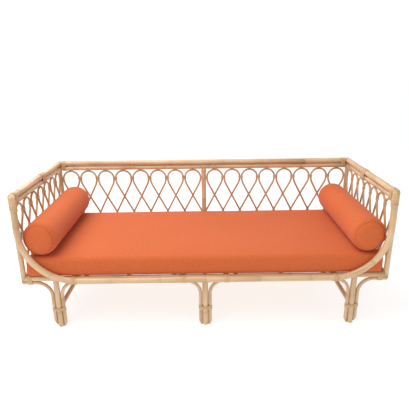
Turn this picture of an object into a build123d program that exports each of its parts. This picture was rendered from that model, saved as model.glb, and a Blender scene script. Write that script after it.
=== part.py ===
"""Rattan daybed: a bent-pole frame with a looped-cane back and arms, a slatted seat,
one box cushion and two bolsters.

Frame: +X along the seat, to the right as seen from the front, +Y to the rear, +Z up.
The origin is on the floor, under the middle of the overall box. Left and right are as
seen from the front. Millimetres.
"""
from build123d import *
from math import atan, cos, pi, radians, sin, sqrt, tan
import os

os.makedirs("parts", exist_ok=True)

# ---------------------------------------------------------------- driving dimensions
WIDTH = 2000.0            # over the arms' upper poles
DEPTH = 835.0             # from the front hoop's face to the back poles' rear side
TOP_Z = 758.0             # centre line of the upper pole of back and arms
SEAT_Z = 296.5            # centre line of the seat frame and of the hoop's level run

TOP_R = 17.0              # upper pole
SECOND_R = 15.0           # lower pole of the doubled rail
HOOP_R = 17.0             # bent front hoop
POST_R = 14.0             # corner posts and seat frame
CENTRE_POST_R = 16.0      # middle post of the back
LEG_R = 16.0              # middle pole of each leg
BRACE_R = 9.75            # bent braces beside each leg pole
STRETCHER_R = 13.0
BEARER_R = 12.0
CANE_R = 6.25             # canes of the loops
TOUCH = 0.2               # clearance left between round pieces that lie side by side
WRAP = 1.8                # thickness of the cane strip wound round the joints
HOLE_EASE = 0.05          # clearance between a binding and the poles inside it
BEND_EASE = 1.1           # extra room in a binding where the pole inside begins to bend

HOOP_X = 973.0            # centre line of the hoop's uprights
HOOP_BEND = 280.0         # radius of the hoop's two big bends
LEG_X = 813.0             # centre line of the outer legs
BRACE_BEND = 80.0
BRACE_REACH = 195.0       # from a leg's centre to the slanted tip of its brace
BRACE_SLANT = 12.0        # how much longer a tip is on top than underneath
STRETCHER_Z = 108.0       # height of the leg bindings and of the stretchers

BACK_LOOPS = 8            # loops in each half of the back
ARM_LOOPS = 7             # loops in each arm
TIE_HEIGHT = 20.0         # small binding between two neighbouring loops
KINK_RUN = 10.0           # where a cane bends back upright after it has crossed its twin

SLAT_COUNT = 9
SLAT_WIDTH = 56.0
SLAT_THICK = 10.0
SLAT_PITCH = 82.0
BEARER_XS = [-912.0, -655.0, -420.0, -170.0, 170.0, 420.0, 655.0, 912.0]

CUSHION_WIDTH = 1924.0
CUSHION_TOP_Z = 428.0
CUSHION_ROUND = 22.0
BOLSTER_R = 94.0
BOLSTER_X = 866.0
BOLSTER_ROUND = 56.0
COVER_THICK = 1.5         # sewn fabric cover
CLOTH_GAP = 0.4           # clearance between loose cushions and what they lie on

# ------------------------------------------------------------------ derived positions
CORNER_X = WIDTH / 2 - TOP_R
HOOP_Y = -DEPTH / 2 + HOOP_R
BACK_Y = DEPTH / 2 - TOP_R
FRONT_Y = HOOP_Y + HOOP_R + POST_R + TOUCH
SECOND_Z = TOP_Z - TOP_R - SECOND_R - TOUCH
LOOP_TOP_Z = SECOND_Z - SECOND_R - CANE_R - TOUCH
BRACE_Z = SEAT_Z - POST_R - BRACE_R - TOUCH
BEARER_Z = SEAT_Z + POST_R - SLAT_THICK - BEARER_R - TOUCH
SLAT_TOP_Z = SEAT_Z + POST_R
CUSHION_FRONT_Y = HOOP_Y + HOOP_R + 3.0
CUSHION_REAR_Y = BACK_Y - TOP_R - 8.0
CUSHION_BASE_Z = SLAT_TOP_Z + CLOTH_GAP
BOLSTER_Z = CUSHION_TOP_Z + CLOTH_GAP + BOLSTER_R
BOLSTER_FRONT_Y = CUSHION_FRONT_Y - 12.0
CROSS_OFFSET = CANE_R + TOUCH
MID_ARM_Y = HOOP_Y + 470.0
WRAP_WIDTH = 38.0
CORNER_BAND_Z = SECOND_Z - SECOND_R - 10.5
CORNER_BAND_WIDTH = 33.0
CORNER_BAND_Y = FRONT_Y + POST_R + 3.0 + CORNER_BAND_WIDTH / 2
CORNER_WRAP_X = CORNER_X - POST_R - 20.0
LEG_XS = [-LEG_X, 0.0, LEG_X]
SIDES = {"left": -1, "right": 1}
ROWS = {"front": FRONT_Y, "rear": BACK_Y}


# ---------------------------------------------------------------------- small helpers
def pole(start, end, radius):
    """A straight round pole between two points."""
    run = Vector(*end) - Vector(*start)
    with BuildPart() as rod:
        with BuildSketch(Plane(origin=start, z_dir=run)):
            Circle(radius)
        extrude(amount=run.length)
    return rod.part


def coped(shape, *others):
    """The shape with its neighbours cut out of it; offcuts are dropped."""
    with BuildPart() as fitted:
        add(shape)
        add(others, mode=Mode.SUBTRACT)
    return fitted.part.solids().sort_by(SortBy.VOLUME)[-1]


def mitred(shape, corner, normal):
    """The part of a shape on the side of a corner plane that the normal points to."""
    with BuildPart() as cut:
        add(shape)
        split(bisect_by=Plane(origin=corner, z_dir=normal), keep=Keep.TOP)
    return cut.part


def gather(shapes):
    """Separate solids collected as one sub-part."""
    with BuildPart() as group:
        for shape in shapes:
            add(shape)
    return group.part


def strap(plane, circles, width):
    """A wound binding: the taut outline round some poles, less the poles themselves.

    circles lists (x, y, radius) in the plane's own axes.
    """
    with BuildPart() as band:
        with BuildSketch(plane.offset(-width / 2)):
            for x, y, radius in circles:
                with Locations((x, y)):
                    Circle(radius + WRAP)
            make_hull()
            for x, y, radius in circles:
                with Locations((x, y)):
                    Circle(radius + HOLE_EASE, mode=Mode.SUBTRACT)
        extrude(amount=width)
    return band.part


def finish(name, shape):
    """Label a finished sub-part and write its file."""
    shape.label = name
    export_step(shape, f"parts/{name}.step")


# ----------------------------------------------------------------------- bent front hoop
def make_hoop():
    level_x = HOOP_X - HOOP_BEND
    spring_z = SEAT_Z + HOOP_BEND
    slack = HOOP_BEND * (1 - cos(pi / 4))
    top = TOP_Z + TOP_R - WRAP
    with BuildPart() as hoop:
        with BuildLine() as path:
            Line((-HOOP_X, HOOP_Y, top), (-HOOP_X, HOOP_Y, spring_z))
            ThreePointArc(
                (-HOOP_X, HOOP_Y, spring_z),
                (-HOOP_X + slack, HOOP_Y, SEAT_Z + slack),
                (-level_x, HOOP_Y, SEAT_Z),
            )
            Line((-level_x, HOOP_Y, SEAT_Z), (level_x, HOOP_Y, SEAT_Z))
            ThreePointArc(
                (level_x, HOOP_Y, SEAT_Z),
                (HOOP_X - slack, HOOP_Y, SEAT_Z + slack),
                (HOOP_X, HOOP_Y, spring_z),
            )
            Line((HOOP_X, HOOP_Y, spring_z), (HOOP_X, HOOP_Y, top))
        with BuildSketch(Plane(origin=(-HOOP_X, HOOP_Y, top), z_dir=(0, 0, -1))):
            Circle(HOOP_R)
        sweep(path=path.wire())
        fillet(hoop.faces().group_by(Axis.Z)[-1].edges(), radius=HOOP_R * 0.6)
    return hoop.part


# ----------------------------------------------------- seat frame, posts and top rails
def make_top_level(height, radius):
    """One level of the rail round back and arms, mitred behind and coped to the hoop."""
    reach = CORNER_X + radius
    back = pole((-reach, BACK_Y, height), (reach, BACK_Y, height), radius)
    rails = {}
    for side, sign in SIDES.items():
        corner = (sign * CORNER_X, BACK_Y, height)
        back = mitred(back, corner, (-sign, 1, 0))
        front = (sign * CORNER_X, HOOP_Y + 1.5, height)
        arm = pole(front, (sign * CORNER_X, BACK_Y + radius, height), radius)
        arm = mitred(arm, corner, (sign, -1, 0))
        rails[side] = coped(arm, front_hoop)
    rails["back"] = back
    return rails


def make_seat_rail(y):
    """A front or rear seat rail, mitred to the posts at both ends."""
    reach = CORNER_X + POST_R
    rail = pole((-reach, y, SEAT_Z), (reach, y, SEAT_Z), POST_R)
    for sign in SIDES.values():
        rail = mitred(rail, (sign * CORNER_X, y, SEAT_Z), (-sign, 0, -1))
    return rail


def make_corner_post(sign, y, *rails_above):
    """A corner post from the seat rail's mitre up to the doubled rail."""
    x = sign * CORNER_X
    post = pole((x, y, SEAT_Z - POST_R), (x, y, SECOND_Z), POST_R)
    post = mitred(post, (x, y, SEAT_Z), (sign, 0, 1))
    return coped(post, *rails_above)


# -------------------------------------------------------------------- legs and braces
def make_leg(x, y, rail):
    leg = coped(pole((x, y, 0), (x, y, SEAT_Z - 3.0), LEG_R), rail, front_hoop)
    with BuildPart() as shaped:
        add(leg)
        chamfer(shaped.faces().sort_by(Axis.Z)[0].edges(), length=1.5)
    return shaped.part


def make_brace(x, y, side, reach):
    """A thin pole that stands beside a leg and bends out under the seat rail."""
    stand_x = x + side * (LEG_R + BRACE_R + TOUCH)
    bend_x = stand_x + side * BRACE_BEND
    bend_z = BRACE_Z - BRACE_BEND
    slack = BRACE_BEND * (1 - cos(pi / 4))
    tip_x = x + side * reach
    with BuildPart() as brace:
        with BuildLine() as path:
            Line((stand_x, y, 0), (stand_x, y, bend_z))
            ThreePointArc(
                (stand_x, y, bend_z),
                (stand_x + side * slack, y, BRACE_Z - slack),
                (bend_x, y, BRACE_Z),
            )
            Line((bend_x, y, BRACE_Z), (tip_x, y, BRACE_Z))
        with BuildSketch(Plane(origin=(stand_x, y, 0), z_dir=(0, 0, 1))):
            Circle(BRACE_R)
        sweep(path=path.wire())
        tip_normal = (-side, 0, BRACE_SLANT / BRACE_R / 2)
        tip_plane = Plane(origin=(tip_x - side * BRACE_SLANT / 2, y, BRACE_Z), z_dir=tip_normal)
        split(bisect_by=tip_plane, keep=Keep.TOP)
    return brace.part


def make_braces(x, y):
    """Both braces of one leg; towards a corner the brace stops flush with the frame."""
    corner_reach = CORNER_X + POST_R - LEG_X
    left_reach = corner_reach if x < 0 else BRACE_REACH
    right_reach = corner_reach if x > 0 else BRACE_REACH
    return gather([make_brace(x, y, -1, left_reach), make_brace(x, y, 1, right_reach)])


# ------------------------------------------------------------------- loops of the lattice
def loop_shape(pitch):
    """Half width and leg slope of a loop whose legs land one pitch to either side."""
    half = pitch / 2 - CANE_R - TOUCH / 2
    low, high = radians(12), radians(45)
    for _ in range(50):
        lean = (low + high) / 2
        below = 2 * half * sin(lean) + (half - 2 * half * (1 - cos(lean))) / tan(lean)
        landing = (LOOP_TOP_Z - half - below - SEAT_Z) * tan(lean)
        if landing < pitch:
            low = lean
        else:
            high = lean
    return half, lean, half + below


def half_loop(half, lean, drop, side):
    """Path of one half of a loop, from its top, round, down past its twin to the seat rail.

    The half lies in a plane tipped just enough for the two legs to pass each other.
    """
    tip = atan(CROSS_OFFSET / drop)
    down = Vector(0, side * sin(tip), -cos(tip))
    out = Vector(side, 0, 0)
    top = Vector(0, 0, LOOP_TOP_Z)

    def spot(across, along):
        return top + out * across + down * along

    wide = 2 * half
    cross = spot(0, drop / cos(tip))
    heading = (out * -sin(lean) + down * cos(lean)).normalized()
    upright = Vector(-side * sin(lean), 0, -cos(lean))
    start_kink = cross - heading * KINK_RUN
    end_kink = cross + upright * KINK_RUN
    landing = cross + upright * ((cross.Z - SEAT_Z) / cos(lean))
    straight = spot(half - wide * (1 - cos(lean)), half + wide * sin(lean))
    with BuildLine() as path:
        ThreePointArc(top, spot(half * sin(pi / 4), half * (1 - cos(pi / 4))), spot(half, half))
        ThreePointArc(
            spot(half, half),
            spot(half - wide * (1 - cos(lean / 2)), half + wide * sin(lean / 2)),
            straight,
        )
        Line(straight, start_kink)
        TangentArc(start_kink, end_kink, tangent=heading)
        Line(end_kink, landing)
    return path.edges()


def make_loop(pitch):
    """One cane bent to a loop, in the XZ plane with its top over the origin."""
    half, lean, drop = loop_shape(pitch)
    with BuildPart() as loop:
        with BuildLine() as path:
            add(half_loop(half, lean, drop, 1))
            add(half_loop(half, lean, drop, -1))
        wire = path.wire()
        with BuildSketch(Plane(origin=wire @ 0, z_dir=wire % 0)):
            Circle(CANE_R)
        sweep(path=wire)
    return loop.part


def make_loop_row(first, step, count, turn, *neighbours):
    """A row of loops, each trimmed where its legs meet the frame."""
    loop = make_loop(step.length)
    row = []
    for index in range(count):
        centre = first + step * index
        placed = loop.moved(Location((centre.X, centre.Y, 0), (0, 0, turn)))
        row.append(coped(placed, *neighbours))
    return row


def make_ties(first, step, count):
    """Small bindings that hold neighbouring loops together at their widest."""
    half, _, drop = loop_shape(step.length)
    reach = CANE_R + TOUCH / 2
    eased = CANE_R + BEND_EASE
    tipped = CROSS_OFFSET * half / drop
    shapes = []
    for index in range(count - 1):
        centre = first + step * (index + 0.5)
        plane = Plane(origin=(centre.X, centre.Y, LOOP_TOP_Z - half), x_dir=step, z_dir=(0, 0, 1))
        shapes.append(strap(plane, [(-reach, tipped, eased), (reach, -tipped, eased)], TIE_HEIGHT))
    return shapes


# ----------------------------------------------------------------------------- seat deck
def make_slats():
    length = 2 * (CORNER_X - POST_R - 3.0)
    mid_y = (FRONT_Y + BACK_Y) / 2
    with BuildPart() as slats:
        with Locations((0, mid_y, SLAT_TOP_Z - SLAT_THICK / 2)):
            with GridLocations(0, SLAT_PITCH, 1, SLAT_COUNT):
                Box(length, SLAT_WIDTH, SLAT_THICK)
        fillet(slats.edges().filter_by(Axis.X), radius=2.0)
    return slats.part


def make_countersunk(radius, head_radius, length):
    """A countersunk wood screw hanging from z = 0."""
    head = head_radius - radius
    with BuildPart() as screw:
        with Locations((0, 0, -head / 2)):
            Cone(bottom_radius=radius, top_radius=head_radius, height=head)
        with Locations((0, 0, -head)):
            Cylinder(radius, length - head, align=(Align.CENTER, Align.CENTER, Align.MAX))
    return screw.part


def make_slat_screws():
    screw = make_countersunk(1.75, 3.5, 26.0)
    mid_y = (FRONT_Y + BACK_Y) / 2
    ys = [mid_y + (index - (SLAT_COUNT - 1) / 2) * SLAT_PITCH for index in range(SLAT_COUNT)]
    return [screw.moved(Location((x, y, SLAT_TOP_Z))) for x in BEARER_XS for y in ys]


def make_crevice_screws():
    """Pan-head screws driven into the crevice between the doubled poles of each arm."""
    crevice_z = TOP_Z - TOP_R - TOUCH / 2
    shapes = []
    for sign in SIDES.values():
        for y in (MID_ARM_Y - 44.0, BACK_Y - 40.0):
            seat = (sign * (CORNER_X - 8.0), y, crevice_z)
            rim = 0 if sign > 0 else -1
            with BuildPart() as screw:
                with BuildSketch(Plane(origin=seat, z_dir=(sign, 0, 0))):
                    Circle(1.75)
                extrude(amount=20.0)
                with BuildSketch(Plane(origin=seat, z_dir=(-sign, 0, 0))):
                    Circle(4.2)
                extrude(amount=2.6)
                fillet(screw.edges().filter_by(GeomType.CIRCLE).sort_by(Axis.X)[rim], 1.2)
            shapes.append(screw.part)
    return shapes


# ------------------------------------------------------------------------ loose cushions
def make_cushion_body(inset):
    """The seat cushion's outer shape, or with an inset the shape of its filling."""
    depth = CUSHION_REAR_Y - CUSHION_FRONT_Y
    mid_y = (CUSHION_REAR_Y + CUSHION_FRONT_Y) / 2
    mid_z = (CUSHION_TOP_Z + CUSHION_BASE_Z) / 2
    with BuildPart() as body:
        with Locations((0, mid_y, mid_z)):
            Box(
                CUSHION_WIDTH - 2 * inset,
                depth - 2 * inset,
                CUSHION_TOP_Z - CUSHION_BASE_Z - 2 * inset,
            )
        fillet(body.edges(), radius=CUSHION_ROUND - inset)
    return body.part


def make_bolster_body(sign, inset):
    """A bolster's outer shape, or with an inset the shape of its filling."""
    front = BOLSTER_FRONT_Y + inset
    rear = CUSHION_REAR_Y - inset
    with BuildPart() as body:
        with BuildSketch(Plane(origin=(sign * BOLSTER_X, front, BOLSTER_Z), z_dir=(0, 1, 0))):
            Circle(BOLSTER_R - inset)
        extrude(amount=rear - front)
        fillet(body.edges().filter_by(GeomType.CIRCLE), radius=BOLSTER_ROUND - inset)
    return body.part


def make_cover(outer, filling):
    with BuildPart() as cover:
        add(outer)
        add(filling, mode=Mode.SUBTRACT)
    return cover.part


# ------------------------------------------------------------------------------ assembly
front_hoop = make_hoop()
finish("front_hoop", front_hoop)

second_rails = make_top_level(SECOND_Z, SECOND_R)
top_rails = make_top_level(TOP_Z, TOP_R)
finish("back_top_rail", top_rails["back"])
finish("back_second_rail", second_rails["back"])
for side in SIDES:
    finish(f"{side}_arm_top_rail", top_rails[side])
    finish(f"{side}_arm_second_rail", second_rails[side])

seat_rails = {row: make_seat_rail(y) for row, y in ROWS.items()}
posts = {}
for row, y in ROWS.items():
    finish(f"seat_{row}_rail", seat_rails[row])
    for side, sign in SIDES.items():
        above = [second_rails[side]] + ([second_rails["back"]] if row == "rear" else [])
        posts[row, side] = make_corner_post(sign, y, *above)
        finish(f"{row}_{side}_post", posts[row, side])

side_rails = {}
for side, sign in SIDES.items():
    x = sign * CORNER_X
    rail = pole((x, FRONT_Y, SEAT_Z), (x, BACK_Y, SEAT_Z), POST_R)
    ends = [posts["front", side], posts["rear", side], seat_rails["front"], seat_rails["rear"]]
    side_rails[side] = coped(rail, *ends)
    finish(f"{side}_seat_rail", side_rails[side])

centre_post = coped(
    pole((0, BACK_Y, SEAT_Z), (0, BACK_Y, SECOND_Z), CENTRE_POST_R),
    seat_rails["rear"],
    second_rails["back"],
)
finish("rear_centre_post", centre_post)

# legs, their braces, their bindings and the stretchers between them
LEG_NAMES = ["left", "centre", "right"]
legs = {}
braces = {}
leg_bindings = []
for row, y in ROWS.items():
    for place, x in zip(LEG_NAMES, LEG_XS):
        legs[row, place] = make_leg(x, y, seat_rails[row])
        braces[row, place] = make_braces(x, y)
        finish(f"{row}_{place}_leg", legs[row, place])
        finish(f"{row}_{place}_leg_braces", braces[row, place])
        beside = LEG_R + BRACE_R + TOUCH
        ring = [(-beside, 0, BRACE_R), (0, 0, LEG_R), (beside, 0, BRACE_R)]
        plane = Plane(origin=(x, y, STRETCHER_Z), x_dir=(1, 0, 0), z_dir=(0, 0, 1))
        leg_bindings.append(strap(plane, ring, 26.0))
finish("leg_bindings", gather(leg_bindings))

for place, x in zip(LEG_NAMES, LEG_XS):
    bar = pole((x, FRONT_Y, STRETCHER_Z), (x, BACK_Y, STRETCHER_Z), STRETCHER_R)
    around = [legs["front", place], legs["rear", place]] + leg_bindings
    finish(f"{place}_stretcher", coped(bar, *around))

# looped canes of the back and the arms
back_span = CORNER_X - POST_R - CENTRE_POST_R
back_step = Vector(back_span / BACK_LOOPS, 0, 0)
for side, sign in SIDES.items():
    first = Vector(sign * CENTRE_POST_R, BACK_Y, 0) + back_step * sign * 0.5
    frame = [seat_rails["rear"], centre_post, posts["rear", side]]
    loops = make_loop_row(first, back_step * sign, BACK_LOOPS, 0, *frame)
    finish(f"back_{side}_loops", gather(loops))
    finish(f"back_{side}_ties", gather(make_ties(first, back_step * sign, BACK_LOOPS)))

arm_span = BACK_Y - FRONT_Y - 2 * POST_R
arm_step = Vector(0, arm_span / ARM_LOOPS, 0)
for side, sign in SIDES.items():
    first = Vector(sign * CORNER_X, FRONT_Y + POST_R, 0) + arm_step * 0.5
    frame = [side_rails[side], posts["front", side], posts["rear", side]]
    loops = make_loop_row(first, arm_step, ARM_LOOPS, 90, *frame)
    finish(f"{side}_arm_loops", gather(loops))
    finish(f"{side}_arm_ties", gather(make_ties(first, arm_step, ARM_LOOPS)))

# bindings of the frame's joints: at each front corner one band holds the hoop to its post,
# and one holds the two poles of the arm together just behind it
doubled = [(0, TOP_Z, TOP_R), (0, SECOND_Z, SECOND_R)]
mid_arm = []
rear_corner = []
for side, sign in SIDES.items():
    x = sign * CORNER_X
    upright_plane = Plane(origin=(0, 0, CORNER_BAND_Z), x_dir=(1, 0, 0), z_dir=(0, 0, 1))
    uprights = [(sign * HOOP_X, HOOP_Y, HOOP_R), (x, FRONT_Y, POST_R)]
    front_plane = Plane(origin=(x, CORNER_BAND_Y, 0), x_dir=(-1, 0, 0), z_dir=(0, 1, 0))
    bands = [strap(upright_plane, uprights, 19.0), strap(front_plane, doubled, CORNER_BAND_WIDTH)]
    finish(f"front_{side}_corner_binding", gather(bands))
    arm_plane = Plane(origin=(x, MID_ARM_Y, 0), x_dir=(-1, 0, 0), z_dir=(0, 1, 0))
    mid_arm.append(strap(arm_plane, doubled, 64.0))
    back_x = sign * (CORNER_X - TOP_R - 18.0)
    back_plane = Plane(origin=(back_x, BACK_Y, 0), x_dir=(0, 1, 0), z_dir=(1, 0, 0))
    rear_corner.append(strap(back_plane, doubled, 34.0))
finish("mid_arm_bindings", gather(mid_arm))
finish("rear_corner_bindings", gather(rear_corner))

saddle_plane = Plane(origin=(0, BACK_Y, 0), x_dir=(0, 1, 0), z_dir=(1, 0, 0))
saddle = strap(saddle_plane, [(0, SECOND_Z, SECOND_R)], 2 * CENTRE_POST_R + 3.0)
saddle = coped(saddle, centre_post, top_rails["back"])
collar_plane = Plane(origin=(0, BACK_Y, SECOND_Z - SECOND_R - 16.0), z_dir=(0, 0, 1))
collar = strap(collar_plane, [(0, 0, CENTRE_POST_R)], 12.0)
finish("centre_post_bindings", gather([saddle, collar]))

front_wraps = []
rear_wraps = []
leg_wrap_xs = [-LEG_X + 109.0, -116.0, 116.0, LEG_X - 109.0]
for x in leg_wrap_xs:
    for row, y, wraps in (("front", FRONT_Y, front_wraps), ("rear", BACK_Y, rear_wraps)):
        plane = Plane(origin=(x, 0, 0), x_dir=(0, 1, 0), z_dir=(1, 0, 0))
        circles = [(y, SEAT_Z, POST_R), (y, BRACE_Z - BEND_EASE, BRACE_R + BEND_EASE)]
        if row == "front":
            beyond_bend = max(0.0, abs(x) + WRAP_WIDTH / 2 - (HOOP_X - HOOP_BEND))
            rise = HOOP_BEND - sqrt(HOOP_BEND**2 - beyond_bend**2)
            circles.append((HOOP_Y, SEAT_Z, HOOP_R))
            if rise > 0:
                circles.append((HOOP_Y, SEAT_Z + rise, HOOP_R))
        wraps.append(strap(plane, circles, WRAP_WIDTH))
finish("front_rail_wraps", gather(front_wraps))
finish("rear_rail_wraps", gather(rear_wraps))

corner_wraps = []
for row, y in ROWS.items():
    for side, sign in SIDES.items():
        plane = Plane(origin=(sign * CORNER_WRAP_X, 0, 0), x_dir=(0, 1, 0), z_dir=(1, 0, 0))
        circles = [(y, SEAT_Z, POST_R), (y, BRACE_Z, BRACE_R)]
        corner_wraps.append(strap(plane, circles, 34.0))
finish("seat_corner_wraps", gather(corner_wraps))

# seat deck and its screws
bearers = []
for x in BEARER_XS:
    bar = pole((x, FRONT_Y + 12.0, BEARER_Z), (x, BACK_Y - 12.0, BEARER_Z), BEARER_R)
    bearers.append(coped(bar, seat_rails["front"], seat_rails["rear"], *corner_wraps))
finish("seat_bearers", gather(bearers))
finish("seat_slats", make_slats())
finish("slat_screws", gather(make_slat_screws()))
leg_screw = make_countersunk(2.5, 5.0, 75.0)
screw_spots = [(x, y) for y in ROWS.values() for x in LEG_XS]
screw_spots = [(x, y) for x, y in screw_spots if not (x == 0 and y == BACK_Y)]
leg_screws = [leg_screw.moved(Location((x, y, SLAT_TOP_Z))) for x, y in screw_spots]
finish("leg_screws", gather(leg_screws))
finish("rail_screws", gather(make_crevice_screws()))

# seat cushion and bolsters, each a sewn cover round a filling
cushion_foam = make_cushion_body(COVER_THICK)
finish("cushion_foam", cushion_foam)
finish("cushion_cover", make_cover(make_cushion_body(0.0), cushion_foam))
for side, sign in SIDES.items():
    filling = make_bolster_body(sign, COVER_THICK)
    finish(f"{side}_bolster_filling", filling)
    finish(f"{side}_bolster_cover", make_cover(make_bolster_body(sign, 0.0), filling))
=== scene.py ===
"""Looks of a rattan daybed: bent poles, looped canes, wound bindings and soft cushions.

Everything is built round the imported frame, in metres: +X along the seat, +Y to the back,
+Z up. Sizes and places come from the frame's own boxes; each class adds only what the
frame can't say, such as how a pole grows or how a strip is wound.
"""

import logging
import math
import random
from dataclasses import dataclass, field
from enum import Enum

import bpy
from mathutils import Euler, Matrix, Vector, noise


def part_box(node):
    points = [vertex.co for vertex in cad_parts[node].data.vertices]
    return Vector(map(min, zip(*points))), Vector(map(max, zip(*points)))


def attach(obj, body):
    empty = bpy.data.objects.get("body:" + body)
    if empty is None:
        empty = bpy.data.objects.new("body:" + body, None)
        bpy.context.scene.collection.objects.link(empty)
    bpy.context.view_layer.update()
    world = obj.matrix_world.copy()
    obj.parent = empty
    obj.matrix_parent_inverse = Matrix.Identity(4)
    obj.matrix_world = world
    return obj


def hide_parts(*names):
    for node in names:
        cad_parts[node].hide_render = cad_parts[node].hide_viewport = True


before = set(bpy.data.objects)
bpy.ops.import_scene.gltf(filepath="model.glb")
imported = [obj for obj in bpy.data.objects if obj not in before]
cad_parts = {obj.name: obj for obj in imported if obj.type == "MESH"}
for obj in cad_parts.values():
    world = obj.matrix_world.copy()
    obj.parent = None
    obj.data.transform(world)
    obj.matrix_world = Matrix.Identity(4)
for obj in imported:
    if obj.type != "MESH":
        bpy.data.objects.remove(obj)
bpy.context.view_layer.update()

log = logging.getLogger("daybed")

Socket = bpy.types.NodeSocket
Material = bpy.types.Material
Mesh = bpy.types.Object
Triple = tuple[float, float, float]

MM = 0.001
SIDES = {"left": -1, "right": 1}
ROWS = ("front", "rear")
FRAME_BODY = "frame"
ALONG, BACK, UP = Vector((1, 0, 0)), Vector((0, 1, 0)), Vector((0, 0, 1))


class Slot(Enum):
    """Material slots of the record."""

    POLE = "rattan_pole"
    CANE = "bent_cane"
    BINDING = "cane_binding"
    COVER = "cover_fabric"


# ---- node graph helper
class Graph:
    """A material's node tree, with short ways to add and join its nodes."""

    def __init__(self, name: str) -> None:
        """Start an empty tree with a Principled shader.

        Args:
            name: the material's name.
        """
        self.material = bpy.data.materials.new(name)
        self.material.use_nodes = True
        self.tree = self.material.node_tree
        self.tree.nodes.clear()
        self.output = self.tree.nodes.new("ShaderNodeOutputMaterial")
        self.shader = self.tree.nodes.new("ShaderNodeBsdfPrincipled")
        self.join(self.shader.outputs[0], self.output.inputs["Surface"])

    def join(self, source: Socket, target: Socket) -> None:
        """Link one socket to another."""
        self.tree.links.new(source, target)

    def node(self, kind: str, **settings: object) -> bpy.types.Node:
        """Add a node.

        Args:
            kind: the node's type without the ShaderNode prefix.
            settings: properties of the node.

        Returns:
            The new node.
        """
        made = self.tree.nodes.new("ShaderNode" + kind)
        for key, value in settings.items():
            setattr(made, key, value)
        return made

    def attribute(self, name: str) -> bpy.types.Node:
        """Read one of the piece's own attributes."""
        return self.node("Attribute", attribute_name=name)

    def scaled(self, vector: Socket, scale: Triple) -> Socket:
        """Stretch a pattern's coordinates.

        Args:
            vector: the coordinates.
            scale: how much finer the pattern is along each axis.

        Returns:
            The stretched coordinates.
        """
        mapping = self.node("Mapping")
        mapping.inputs["Scale"].default_value = scale
        self.join(vector, mapping.inputs["Vector"])
        return mapping.outputs[0]

    def noise(self, vector: Socket, scale: float, detail: float = 3.0) -> Socket:
        """Smooth noise from 0 to 1.

        Args:
            vector: the coordinates.
            scale: its fineness, in bumps per metre.
            detail: how many finer layers it has.

        Returns:
            The noise's value.
        """
        made = self.node("TexNoise")
        made.inputs["Scale"].default_value = scale
        made.inputs["Detail"].default_value = detail
        self.join(vector, made.inputs["Vector"])
        return made.outputs["Fac"]

    def ramp(self, value: Socket, stops: list[tuple[float, Triple]]) -> Socket:
        """Turn a value into a colour.

        Args:
            value: the value to look up.
            stops: places from 0 to 1, each with its colour.

        Returns:
            The colour.
        """
        made = self.node("ValToRGB")
        elements = made.color_ramp.elements
        while len(elements) < len(stops):
            elements.new(0.5)
        for element, (place, colour) in zip(elements, stops):
            element.position = place
            element.color = (*colour, 1.0)
        self.join(value, made.inputs["Fac"])
        return made.outputs["Color"]

    def mixed(
        self,
        factor: Socket | float,
        first: Socket | Triple,
        second: Socket | Triple,
    ) -> Socket:
        """Mix two colours.

        Args:
            factor: how much of the second colour there is.
            first: the first colour.
            second: the second colour.

        Returns:
            The mixed colour.
        """
        made = self.node("Mix", data_type="RGBA")
        for value, socket in ((factor, made.inputs[0]), (first, made.inputs[6]), (second, made.inputs[7])):
            if isinstance(value, Socket):
                self.join(value, socket)
            elif isinstance(value, tuple):
                socket.default_value = (*value, 1.0)
            else:
                socket.default_value = value
        return made.outputs[2]

    def maths(self, rule: str, first: Socket, second: Socket | float = 0.0) -> Socket:
        """Work out a value from two others.

        Args:
            rule: Blender's name of the operation.
            first: the first value.
            second: the second value.

        Returns:
            The result.
        """
        made = self.node("Math", operation=rule)
        self.join(first, made.inputs[0])
        if isinstance(second, Socket):
            self.join(second, made.inputs[1])
        else:
            made.inputs[1].default_value = second
        return made.outputs[0]

    def bump(self, height: Socket, strength: float, distance: float) -> None:
        """Give the shader a raised surface.

        Args:
            height: the surface's height.
            strength: how strongly it shows.
            distance: the height of a full step, in metres.
        """
        made = self.node("Bump")
        made.inputs["Strength"].default_value = strength
        made.inputs["Distance"].default_value = distance
        self.join(height, made.inputs["Height"])
        self.join(made.outputs[0], self.shader.inputs["Normal"])

    def set(self, **values: float) -> None:
        """Set plain numbers on the shader; an underscore in a name stands for a space."""
        for key, value in values.items():
            self.shader.inputs[key.replace("_", " ")].default_value = value

    def painted(self, colour: Socket, **values: float) -> None:
        """Colour the surface, and set plain numbers on the shader."""
        self.join(colour, self.shader.inputs["Base Color"])
        self.set(**values)


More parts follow.
